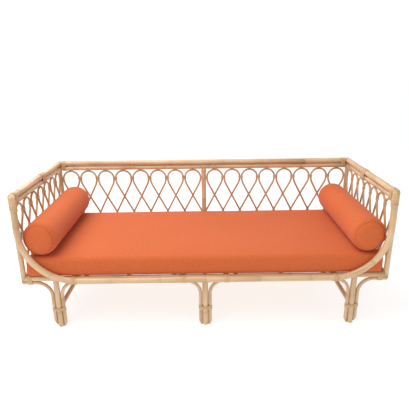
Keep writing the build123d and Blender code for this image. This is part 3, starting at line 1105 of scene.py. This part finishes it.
# ---- lattice
@dataclass
class LoopRow:
    """A row of looped canes between two posts, with small ties where they touch."""

    shop: Workshop
    name: str
    nodes: tuple[str, str]
    first: Vector
    step: Vector
    count: int
    post_r: tuple[float, float]
    kink_bend: float = 0.8
    tie_height: float = 0.020
    tie_turns: int = 3

    def shape(self) -> Triple:
        """The loop's half width, its legs' slope and the drop to where they cross."""
        sizes = self.shop.sizes
        pitch = self.step.length
        half = pitch / 2 - sizes.cane_r - sizes.touch / 2
        low, high = math.radians(12), math.radians(45)
        for _ in range(50):
            lean = (low + high) / 2
            below = 2 * half * math.sin(lean) + (half - 2 * half * (1 - math.cos(lean))) / math.tan(lean)
            landing = (sizes.loop_top - half - below - sizes.seat.height) * math.tan(lean)
            if landing < pitch:
                low = lean
            else:
                high = lean
        return half, lean, half + below

    def half_corners(self, side: int, travel: float) -> list[Vector]:
        """Corners of half a loop, from beside its top down to the seat rail.

        Args:
            side: 1 or -1, the half that is made.
            travel: how far sideways the leg runs after the crossing.

        Returns:
            Points across, off the loop's plane, and up.
        """
        sizes = self.shop.sizes
        half, lean, drop = self.shape()
        offset = sizes.cane_r + sizes.touch
        tip = offset / drop
        shoulder = half + 2 * half * math.tan(lean / 2)
        points = [Vector((side * half, 0, sizes.loop_top))]
        points.append(Vector((side * half, side * tip * shoulder, sizes.loop_top - shoulder)))
        cross = Vector((0, side * offset, sizes.loop_top - drop))
        points.append(cross)
        points.append(cross + Vector((-side * math.tan(lean), 0, -1)) * (travel / math.tan(lean)))
        return points

    def build(self) -> None:
        """Make and dress the canes and their ties."""
        sizes = self.shop.sizes
        half, _, drop = self.shape()
        pitch = self.step.length
        across = self.step.normalized()
        off = Vector((0, 0, 1)).cross(across)
        loops, ties = [], []
        for index in range(self.count):
            centre = self.first + self.step * index
            forward = min(pitch, pitch * (self.count - index - 0.5) + self.post_r[1])
            backward = min(pitch, pitch * (index + 0.5) + self.post_r[0])
            flat = self.half_corners(-1, forward)[::-1] + self.half_corners(1, backward)
            corners = [centre + across * p.x + off * p.y + Vector((0, 0, p.z)) for p in flat]
            bends = [self.kink_bend, 2 * half, half, half, 2 * half, self.kink_bend]
            loops.append(self.shop.pole(f"{self.name}_loop_{index}", Route(corners, bends), sizes.cane_r))
            if index:
                between = centre - self.step / 2 + Vector((0, 0, sizes.loop_top - half))
                reach = sizes.cane_r + sizes.touch / 2
                tipped = (sizes.cane_r + sizes.touch) * half / drop
                eased = sizes.cane_r + 0.3 * MM
                rings = [Ring(-reach, tipped, eased), Ring(reach, -tipped, eased)]
                name = f"{self.name}_tie_{index}"
                tie = Winding(name, between, UP, across, rings, self.tie_height, self.tie_turns)
                ties.append(tie.build())
        self.shop.finish_cane(join_pieces(f"{self.name}_loops_cane", loops), self.nodes[0])
        self.shop.finish_binding(join_pieces(f"{self.name}_ties_wound", ties), self.nodes[1])


@dataclass
class Lattice:
    """All the loop rows: two in the back, one in each arm."""

    shop: Workshop
    back_loops: int = 8
    arm_loops: int = 7

    def build(self) -> None:
        """Make every row."""
        sizes = self.shop.sizes
        canes = PoleMaker(
            sides=14, joint_gap=0.34, joint_swell=0.03, joint_half_width=0.004, waver=0.0006, seed=300
        )
        shop = Workshop(sizes, self.shop.finishes, canes)
        post_r, rear = sizes.seat.radius, sizes.rows["rear"]
        back_step = Vector(((sizes.corner_x - post_r - sizes.centre_post_r) / self.back_loops, 0, 0))
        arm_step = Vector((0, (rear - sizes.rows["front"] - 2 * post_r) / self.arm_loops, 0))
        for side, sign in SIDES.items():
            first = Vector((sign * sizes.centre_post_r, rear, 0)) + back_step * sign / 2
            nodes = (f"back_{side}_loops", f"back_{side}_ties")
            radii = (sizes.centre_post_r, post_r)
            LoopRow(shop, f"back_{side}", nodes, first, back_step * sign, self.back_loops, radii).build()
            first = Vector((sign * sizes.corner_x, sizes.rows["front"] + post_r, 0)) + arm_step / 2
            nodes = (f"{side}_arm_loops", f"{side}_arm_ties")
            LoopRow(shop, f"{side}_arm", nodes, first, arm_step, self.arm_loops, (post_r, post_r)).build()


# ---- bindings
@dataclass
class CornerElbow:
    """The wound cap over a front top corner, where hoop, post and doubled rail meet."""

    shop: Workshop
    side: str
    strips: int = 6
    spread: float = math.radians(78)
    back_reach: float = 0.036
    front_drop: float = 0.030
    lift: float = 0.0012
    neck_width: float = 0.072
    neck_turns: int = 8
    neck_height: float = 0.7265

    def build(self) -> None:
        """Make the cap, the turns below it and the band behind it."""
        sizes = self.shop.sizes
        sign = SIDES[self.side]
        binding = NodeBox(f"front_{self.side}_corner_binding")
        parts = [self.strip(sign, index) for index in range(self.strips)]
        rings = [
            Ring(sign * self.shop.hoop_head_x(), sizes.hoop_y, sizes.hoop.radius),
            Ring(sign * sizes.corner_x, sizes.rows["front"], sizes.seat.radius),
        ]
        neck_centre = Vector((0, 0, self.neck_height))
        name = f"{self.side}_neck"
        neck = Winding(name, neck_centre, UP, ALONG, rings, self.neck_width, self.neck_turns)
        parts.append(neck.build())
        band_width = binding.high.y - sizes.rows["front"] - sizes.seat.radius - 3 * MM
        doubled = self.shop.doubled_rings()
        band_centre = Vector((sign * sizes.corner_x, binding.high.y - band_width / 2, 0))
        band = Winding(f"{self.side}_corner_band", band_centre, BACK, -ALONG, doubled, band_width, 6)
        parts.append(band.build())
        parts.extend(self.cores(sign))
        elbow = join_pieces(f"front_{self.side}_corner_wound", parts)
        self.shop.finish_binding(elbow, f"front_{self.side}_corner_binding")

    def cores(self, sign: int) -> list[Mesh]:
        """Fill the corner under the strips, so that nothing is seen between them.

        Args:
            sign: which side of the daybed.

        Returns:
            An upright and a level core.
        """
        sizes = self.shop.sizes
        radius = sizes.top.radius
        corner = Vector((sign * self.shop.hoop_head_x(), sizes.hoop_y, sizes.top.height))
        foot = corner - Vector((0, 0, 0.04))
        behind = Vector((sign * sizes.corner_x, sizes.rows["front"] + 4 * MM, sizes.top.height))
        head = corner + Vector((0, 0, radius * 0.45))
        front = corner - Vector((0, radius * 0.3, 0))
        return [
            self.shop.pole(f"{self.side}_{word}_core", Route([start, end], run_step=0.008), radius * 0.97)
            for word, start, end in (("upright", foot, head), ("level", front, behind))
        ]

    def strip(self, sign: int, index: int) -> Mesh:
        """One strip of the cap, from the rail's top over the rounded corner and down.

        Args:
            sign: which side of the daybed.
            index: which strip, counted across.

        Returns:
            The strip's mesh.
        """
        sizes = self.shop.sizes
        runs = (8, 14, 8)
        count = sum(runs)
        piece = new_grid(f"cap_strip_{sign}_{index}", count, 4)
        step = 2 * self.spread / self.strips
        skin, edges = [], []
        for vertex in piece.data.vertices:
            place = (vertex.co.x + 0.5) * count
            side = vertex.co.y * 2
            angle = -self.spread + step * (index + 0.5 + side * 0.46)
            radius = sizes.top.radius + self.lift + 0.0004 * (1 - side * side)
            back = max(0.0, 1 - place / runs[0]) * self.back_reach
            turn = min(1.0, max(0.0, (place - runs[0]) / runs[1])) * math.pi / 2
            down = max(0.0, (place - runs[0] - runs[1]) / runs[2]) * self.front_drop
            out = radius * math.cos(angle)
            head_x = self.shop.hoop_head_x()
            aside = (sizes.corner_x - head_x) * back / self.back_reach
            x = sign * (head_x + aside) + radius * math.sin(angle)
            y = sizes.hoop_y + back - out * math.sin(turn)
            z = sizes.top.height + out * math.cos(turn) - down
            vertex.co = Vector((x, y, z))
            skin.extend((place * 0.004, side * 0.004 + index * 0.37, 0.2 * index))
            edges.append(edge_of(side))
        return finish_strip(piece, skin, edges, 0.9 * MM)


@dataclass
class Band:
    """Where a wound band sits, what it goes round and how wide it is."""

    centre: Vector
    along: Vector
    across: Vector
    rings: list[Ring]
    width: float


WOUND_NAMES = {
    "mid_arm_bindings": "mid_arm_wound",
    "rear_corner_bindings": "rear_corner_wound",
    "front_rail_wraps": "front_rail_wound",
    "rear_rail_wraps": "rear_rail_wound",
    "seat_corner_wraps": "seat_corner_wound",
    "leg_bindings": "leg_wound",
}


@dataclass
class Bindings:
    """Every wound joint of the frame, apart from the ties in the lattice."""

    shop: Workshop
    inner_wrap: float = 0.116
    wrap_width: float = 0.038
    corner_wrap_width: float = 0.034
    leg_band: float = 0.026
    band_spare: float = 0.0018
    corner_band: float = 0.035
    collar_width: float = 0.014
    collar_drop: float = 0.016

    def build(self) -> None:
        """Make and dress every binding."""
        for side in SIDES:
            CornerElbow(self.shop, side).build()
        self.build_rail_bands()
        self.build_centre_post()
        self.build_rail_wraps()
        self.build_corner_wraps()
        self.build_leg_bindings()

    def wind(self, node: str, bands: list[Band], turns: int) -> None:
        """Wind a group of bands and dress it as one piece.

        Args:
            node: the CAD node that the group stands for.
            bands: where the bands sit, and what they go round.
            turns: turns of strip in each band.
        """
        wound = [
            Winding(node, band.centre, band.along, band.across, band.rings, band.width, turns).build()
            for band in bands
        ]
        self.shop.finish_binding(join_pieces(WOUND_NAMES[node], wound), node)

    def build_rail_bands(self) -> None:
        """Wind the bands round the doubled rail: mid arm, and beside the rear corners."""
        sizes, rings = self.shop.sizes, self.shop.doubled_rings()
        wide = sizes.top.radius + self.band_spare
        box = NodeBox("mid_arm_bindings")
        places = [Vector((sign * (box.high.x - wide), box.middle.y, 0)) for sign in SIDES.values()]
        arm = [Band(place, BACK, -ALONG, rings, box.size.y) for place in places]
        self.wind("mid_arm_bindings", arm, 8)
        box = NodeBox("rear_corner_bindings")
        width = box.high.x - (sizes.corner_x - sizes.top.radius - self.corner_band)
        places = [Vector((sign * (box.high.x - width / 2), box.middle.y, 0)) for sign in SIDES.values()]
        rear = [Band(place, ALONG, BACK, rings, width) for place in places]
        self.wind("rear_corner_bindings", rear, 4)

    def build_centre_post(self) -> None:
        """Wind the saddle over the lower rail and the collar just beneath it."""
        sizes = self.shop.sizes
        rear = sizes.rows["rear"]
        rail = [Ring(0, sizes.second.height, sizes.second.radius)]
        post = [Ring(0, 0, sizes.centre_post_r)]
        collar_z = sizes.second.height - sizes.second.radius - self.collar_drop
        saddle_width = 2 * sizes.centre_post_r + 3 * MM
        parts = [
            Winding("saddle", Vector((0, rear, 0)), ALONG, BACK, rail, saddle_width, 4).build(),
            Winding("collar", Vector((0, rear, collar_z)), UP, ALONG, post, self.collar_width, 2).build(),
        ]
        self.shop.finish_binding(join_pieces("centre_post_wound", parts), "centre_post_bindings")

    def build_rail_wraps(self) -> None:
        """Wind the wraps that hold the braces' tips to the seat rails."""
        sizes = self.shop.sizes
        outer = NodeBox("rear_rail_wraps").high.x - self.wrap_width / 2
        for row, y in sizes.rows.items():
            rings = self.shop.seat_rings(y)
            if row == "front":
                rings.append(Ring(sizes.hoop_y, sizes.hoop.height, sizes.hoop.radius))
            wraps = [
                Band(Vector((x, 0, 0)), ALONG, BACK, rings, self.wrap_width)
                for x in (-outer, -self.inner_wrap, self.inner_wrap, outer)
            ]
            self.wind(f"{row}_rail_wraps", wraps, 4)

    def build_corner_wraps(self) -> None:
        """Wind the wraps between seat rail and outer brace next to the corners."""
        reach = NodeBox("seat_corner_wraps").high.x - self.corner_wrap_width / 2
        wraps = [
            Band(Vector((sign * reach, 0, 0)), ALONG, BACK, self.shop.seat_rings(y), self.corner_wrap_width)
            for y in self.shop.sizes.rows.values()
            for sign in SIDES.values()
        ]
        self.wind("seat_corner_wraps", wraps, 4)

    def build_leg_bindings(self) -> None:
        """Wind the bindings that hold each leg and its braces together."""
        sizes = self.shop.sizes
        beside, thin = sizes.leg_r + sizes.brace.radius + sizes.touch, sizes.brace.radius
        rings = [Ring(-beside, 0, thin), Ring(0, 0, sizes.leg_r), Ring(beside, 0, thin)]
        bands = [
            Band(Vector((x, y, sizes.stretcher.height)), UP, ALONG, rings, self.leg_band)
            for y in sizes.rows.values()
            for x in sizes.leg_xs.values()
        ]
        self.wind("leg_bindings", bands, 3)


# ---- the deck
@dataclass
class Deck:
    """Slats, bearers and screws, which keep the frame's own shapes."""

    shop: Workshop

    def dress(self) -> None:
        """Give every node of the deck its finish."""
        finishes = self.shop.finishes
        for name, material in (
            ("seat_slats", finishes.slat),
            ("seat_bearers", finishes.slat),
            ("slat_screws", finishes.steel),
            ("leg_screws", finishes.steel),
            ("rail_screws", finishes.steel),
        ):
            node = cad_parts[name]
            node.data.materials.clear()
            node.data.materials.append(material)
            log.info("%s keeps its shape, with a finish", name)


# ---- soft cushions
@dataclass
class Filling:
    """How a sewn cover is blown up by its filling."""

    voxel: float
    cap: float
    pressure: float = 4.0
    frames: int = 20

    def run(self, piece: Mesh) -> None:
        """Remesh the cover evenly and fill it.

        Args:
            piece: the cover, a little smaller than it ends up.
        """
        remesh = piece.modifiers.new("even", "REMESH")
        remesh.mode = "VOXEL"
        remesh.voxel_size = self.voxel
        remesh.use_smooth_shade = True
        apply_modifiers(piece)
        before = [vertex.co.copy() for vertex in piece.data.vertices]
        cloth = piece.modifiers.new("fill", "CLOTH")
        settings = cloth.settings
        settings.quality = 4
        settings.mass = 0.3
        settings.tension_stiffness = settings.compression_stiffness = 20
        settings.shear_stiffness = 8
        settings.bending_stiffness = 1.2
        settings.use_pressure = True
        settings.uniform_pressure_force = self.pressure
        settings.effector_weights.gravity = 0.0
        cloth.collision_settings.use_collision = False
        cloth.point_cache.frame_start = 1
        cloth.point_cache.frame_end = self.frames
        for number in range(1, self.frames + 1):
            bpy.context.scene.frame_set(number)
        apply_modifiers(piece)
        bpy.context.scene.frame_set(1)
        for vertex, start in zip(piece.data.vertices, before):
            moved = vertex.co - start
            if moved.length > 1e-7:
                vertex.co = start + moved * (self.cap * math.tanh(moved.length / self.cap) / moved.length)


def subdivide_once(piece: Mesh) -> None:
    """Smooth a filled cover with one level of subdivision."""
    smooth = piece.modifiers.new("smooth", "SUBSURF")
    smooth.levels = smooth.render_levels = 1
    apply_modifiers(piece)
    make_active(piece)
    bpy.ops.object.shade_smooth()


def fill_box(piece: Mesh, box: NodeBox) -> None:
    """Stretch a soft piece gently until it fills its box.

    Args:
        piece: the filled cover.
        box: the box it has to fill.
    """
    places = [vertex.co.copy() for vertex in piece.data.vertices]
    low = Vector([min(place[axis] for place in places) for axis in range(3)])
    high = Vector([max(place[axis] for place in places) for axis in range(3)])
    stretch = Vector([box.size[axis] / (high[axis] - low[axis]) for axis in range(3)])
    for vertex, place in zip(piece.data.vertices, places):
        vertex.co = box.low + (place - low) * stretch


@dataclass
class SeatCushion:
    """The long box cushion, in one cover with no piping."""

    shop: Workshop
    node: str = "cushion_cover"
    body: str = "seat_cushion"
    inset: float = 0.006
    edge_round: float = 0.020
    ripple: float = 0.0016
    hem: float = 0.024
    overhang: float = 0.006
    seam_depth: float = 0.0012
    seam_half_width: float = 0.004
    filling: Filling = field(default_factory=lambda: Filling(voxel=0.012, cap=0.0075, pressure=3.5))

    def build(self) -> Mesh:
        """Make and dress the cushion.

        Returns:
            The finished cushion.
        """
        box = NodeBox(self.node)
        deselect_all()
        bpy.ops.mesh.primitive_cube_add(size=1.0, location=box.middle)
        piece = bpy.context.object
        piece.name = piece.data.name = "seat_cushion_sewn"
        piece.scale = box.size - Vector((1, 1, 1)) * 2 * self.inset
        settle(piece)
        bevel = piece.modifiers.new("soft_edges", "BEVEL")
        bevel.width = self.edge_round
        bevel.segments = 5
        apply_modifiers(piece)
        self.filling.run(piece)
        subdivide_once(piece)
        # the seam weights paint shade into the cover along its top seam
        write_attribute(piece, "seam_shade", self.settle_shape(piece, box))
        fill_box(piece, box)
        self.press_hem(piece, box)
        write_attribute(piece, "cloth", self.cloth_coordinates(piece, box), "FLOAT_VECTOR")
        dress(piece, self.shop.finishes.cover, self.body, ["cushion_cover", "cushion_foam"])
        return piece

    def press_hem(self, piece: Mesh, box: NodeBox) -> None:
        """Flatten the lower edges by the cushion's own weight; the front one hangs over."""
        for vertex in piece.data.vertices:
            share = (vertex.co.z - box.low.z) / self.hem
            front = max(0.0, (box.middle.y - vertex.co.y) / (box.size.y / 2)) ** 6
            vertex.co.y -= self.overhang * front * math.exp(-share * 0.5)
            if share < 1.0:
                vertex.co.z = box.low.z + self.hem * max(0.0, share) ** 2.2

    def settle_shape(self, piece: Mesh, box: NodeBox) -> list[float]:
        """Ripple the cover a little, sew its edges and flatten what lies on the slats.

        Args:
            piece: the filled cushion.
            box: its box.

        Returns:
            How far each vertex is drawn in by a seam, from 0 to 1.
        """
        normals = [vertex.normal.copy() for vertex in piece.data.vertices]
        seam_shades = []
        for vertex, normal in zip(piece.data.vertices, normals):
            co = vertex.co.copy()
            wave = noise.noise(Vector((co.x * 3.1, co.y * 3.6, co.z * 5.0))) * self.ripple
            fold = noise.noise(Vector((co.x * 11.0 + 7.0, co.y * 9.0, co.z * 16.0))) * self.ripple * 0.35
            seam = abs(co.z - (box.high.z - 0.012)) / self.seam_half_width
            side = 1.0 - min(1.0, abs(normal.z) * 1.4)
            drawn = math.exp(-seam * seam) * side
            groove = self.seam_depth * drawn
            seam_shades.append(drawn * 0.5)
            co += normal * (wave + fold - groove)
            co.z = max(co.z, box.low.z)
            co.y = max(co.y, box.low.y - 0.002)
            co.y = min(co.y, box.high.y + 0.003)
            vertex.co = co
        return seam_shades

    def cloth_coordinates(self, piece: Mesh, box: NodeBox) -> list[float]:
        """Lay the cover flat: along the seat, and over its front edge."""
        values = []
        for vertex in piece.data.vertices:
            co = vertex.co
            values.extend((co.x, co.y - (box.high.z - co.z), co.z * 0.2))
        return values


@dataclass
class Bolster:
    """A round bolster with a domed end sewn in at each end, puckered round its seam."""

    shop: Workshop
    side: str
    inset: float = 0.005
    outward: float = 0.007
    slimmer: float = 0.002
    end_round: float = 0.052
    seam_radius_share: float = 0.80
    seam_depth: float = 0.0032
    pucker_depth: float = 0.0036
    puckers: int = 34
    filling: Filling = field(default_factory=lambda: Filling(voxel=0.0065, cap=0.006, pressure=4.0))

    def build(self) -> Mesh:
        """Make and dress the bolster.

        Returns:
            The finished bolster.
        """
        box = NodeBox(f"{self.side}_bolster_cover")
        sign = SIDES[self.side]
        box.low.x += sign * self.outward + self.slimmer
        box.high.x += sign * self.outward - self.slimmer
        radius = box.size.x / 2
        piece = self.turned_shape(box, radius - self.inset)
        self.filling.run(piece)
        subdivide_once(piece)
        # the seam weights paint shade into the seams and puckers at the bolster's ends
        write_attribute(piece, "seam_shade", self.sew(piece, box, radius))
        fill_box(piece, box)
        write_attribute(piece, "cloth", self.cloth_coordinates(piece, box, radius), "FLOAT_VECTOR")
        body = f"{self.side}_bolster"
        dress(piece, self.shop.finishes.cover, body, [f"{body}_cover", f"{body}_filling"])
        return piece

    def turned_shape(self, box: NodeBox, radius: float) -> Mesh:
        """Turn the plain form: a cylinder whose ends are rounded over in steps.

        Args:
            box: the bolster's box.
            radius: the form's radius.

        Returns:
            The form, closed.
        """
        length = box.size.y - 2 * self.inset
        deselect_all()
        bpy.ops.mesh.primitive_cylinder_add(
            vertices=72,
            radius=radius,
            depth=length,
            location=box.middle,
            rotation=(math.pi / 2, 0, 0),
        )
        piece = bpy.context.object
        piece.name = piece.data.name = f"{self.side}_bolster_sewn"
        settle(piece)
        bevel = piece.modifiers.new("round_ends", "BEVEL")
        bevel.width = self.end_round
        bevel.segments = 9
        bevel.limit_method = "ANGLE"
        bevel.angle_limit = math.radians(60)
        apply_modifiers(piece)
        return piece

    def sew(self, piece: Mesh, box: NodeBox, radius: float) -> list[float]:
        """Press in the seam round each end, and the short puckers that fan out from it.

        Args:
            piece: the filled bolster.
            box: its box.
            radius: its radius.

        Returns:
            How far each vertex is drawn in, from 0 to 1.
        """
        seam_shades = []
        dice = random.Random(51 if self.side == "left" else 52)
        phase = dice.uniform(0, 2 * math.pi)
        depths = [dice.uniform(0.3, 1.0) for _ in range(self.puckers)]
        seam_radius = radius * self.seam_radius_share
        normals = [vertex.normal.copy() for vertex in piece.data.vertices]
        for vertex, normal in zip(piece.data.vertices, normals):
            co = vertex.co.copy()
            flat = Vector((co.x - box.middle.x, co.z - box.middle.z))
            angle = math.atan2(flat.y, flat.x)
            end = box.size.y / 2 - abs(co.y - box.middle.y)
            wave = noise.noise(Vector((co.x * 9.0, co.y * 5.0, co.z * 9.0))) * 0.0012
            push = wave
            drawn = 0.0
            if end < 0.09:
                away = (flat.length - seam_radius) / radius if end < 0.04 else 1.0
                seam = math.exp(-((away / 0.035) ** 2))
                around = (angle + math.pi) / (2 * math.pi) * self.puckers
                around += 0.3 * math.sin(angle * 3 + phase)
                inner = 0.5 - 0.5 * math.copysign(math.cos(angle), box.middle.x) * abs(math.cos(angle))
                depth = depths[int(around) % self.puckers] * (0.25 + 0.75 * inner)
                fold = math.cos(2 * math.pi * around) * depth
                reach = math.exp(-((away / 0.14) ** 2))
                push -= self.seam_depth * seam + self.pucker_depth * fold * reach / 2
                drawn = min(1.0, 0.25 * seam + 0.45 * reach * max(0.0, fold))
            co += normal * push
            co.z = max(co.z, box.low.z)
            vertex.co = co
            seam_shades.append(drawn)
        return seam_shades

    def cloth_coordinates(self, piece: Mesh, box: NodeBox, radius: float) -> list[float]:
        """Lay the cover flat: round the bolster and along it, with the ends as discs."""
        values = []
        for vertex in piece.data.vertices:
            flat = Vector((vertex.co.x - box.middle.x, vertex.co.z - box.middle.z))
            if flat.length < radius * 0.8:
                values.extend((flat.x, flat.y, 1.0))
            else:
                angle = math.atan2(flat.x, -flat.y)
                values.extend((angle * radius, vertex.co.y, 0.0))
        return values


# ---- the studio
@dataclass(frozen=True)
class SoftLight:
    """One big soft light."""

    name: str
    place: Triple
    aim: Triple
    size: float
    watts: float
    colour: Triple = (1.0, 1.0, 1.0)

    def hang(self) -> None:
        """Put the light up."""
        data = bpy.data.lights.new(self.name, "AREA")
        data.shape = "SQUARE"
        data.size = self.size
        data.energy = self.watts
        data.color = self.colour
        lamp = bpy.data.objects.new(self.name, data)
        bpy.context.scene.collection.objects.link(lamp)
        lamp.location = self.place
        lamp.rotation_euler = (Vector(self.aim) - Vector(self.place)).to_track_quat("-Z", "Y").to_euler()


@dataclass
class Studio:
    """Pale floor, soft lights and the camera."""

    place: Triple = (-0.0033, -2.4326, 1.3967)
    pitch_down: float = math.radians(18.437)
    yaw: float = math.radians(0.133)
    roll: float = math.radians(-0.695)
    lens: float = 37.34
    world_strength: float = 0.60
    backdrop: float = 1.05

    def build(self) -> None:
        """Lay the floor, hang the lights and set the camera."""
        deselect_all()
        bpy.ops.mesh.primitive_plane_add(size=60.0)
        floor = bpy.context.object
        floor.name = "studio_floor"
        floor.data.materials.append(FloorFinish("pale_floor").make())
        world = bpy.data.worlds.new("soft_room")
        bpy.context.scene.world = world
        world.use_nodes = True
        back = world.node_tree.nodes["Background"]
        back.inputs["Color"].default_value = (1.0, 1.0, 1.0, 1.0)
        seen = world.node_tree.nodes.new("ShaderNodeLightPath")
        strength = world.node_tree.nodes.new("ShaderNodeMapRange")
        strength.inputs["To Min"].default_value = self.world_strength
        strength.inputs["To Max"].default_value = self.backdrop
        world.node_tree.links.new(seen.outputs["Is Camera Ray"], strength.inputs["Value"])
        world.node_tree.links.new(strength.outputs["Result"], back.inputs["Strength"])
        for light in (
            SoftLight("key", (-1.3, -0.5, 3.1), (0.0, 0.0, 0.35), 2.8, 74.0, (1.0, 0.99, 0.97)),
            SoftLight("fill", (-0.8, -3.4, 1.3), (0.0, 0.0, 0.4), 2.2, 10.0),
            SoftLight("back", (-1.0, 2.0, 2.3), (-0.3, 0.3, 0.6), 2.2, 26.0),
        ):
            light.hang()
        self.set_camera()
        view = bpy.context.scene.view_settings
        view.view_transform = "Standard"
        view.look = "None"

    def set_camera(self) -> None:
        """Set the camera where the daybed is seen from, a little above and in front."""
        data = bpy.data.cameras.new("camera")
        data.lens = self.lens
        data.sensor_width = 36.0
        data.clip_end = 200.0
        camera = bpy.data.objects.new("camera", data)
        bpy.context.scene.collection.objects.link(camera)
        tilt = Euler((math.pi / 2 - self.pitch_down, 0, -self.yaw)).to_matrix()
        turn = tilt @ Matrix.Rotation(self.roll, 3, "Z")
        camera.matrix_world = Matrix.LocRotScale(Vector(self.place), turn.to_quaternion(), None)
        bpy.context.scene.camera = camera


def main() -> None:
    """Build the daybed's looks, class by class."""
    logging.basicConfig(level=logging.INFO, format="%(name)s: %(message)s")
    Studio().build()
    shop = Workshop(Measures(), Finishes(), PoleMaker())
    Carcass(shop).build()
    Underframe(shop).build()
    Lattice(shop).build()
    Bindings(shop).build()
    Deck(shop).dress()
    SeatCushion(shop).build()
    for side in SIDES:
        Bolster(shop, side).build()
    deselect_all()


if __name__ == "__main__":
    main()
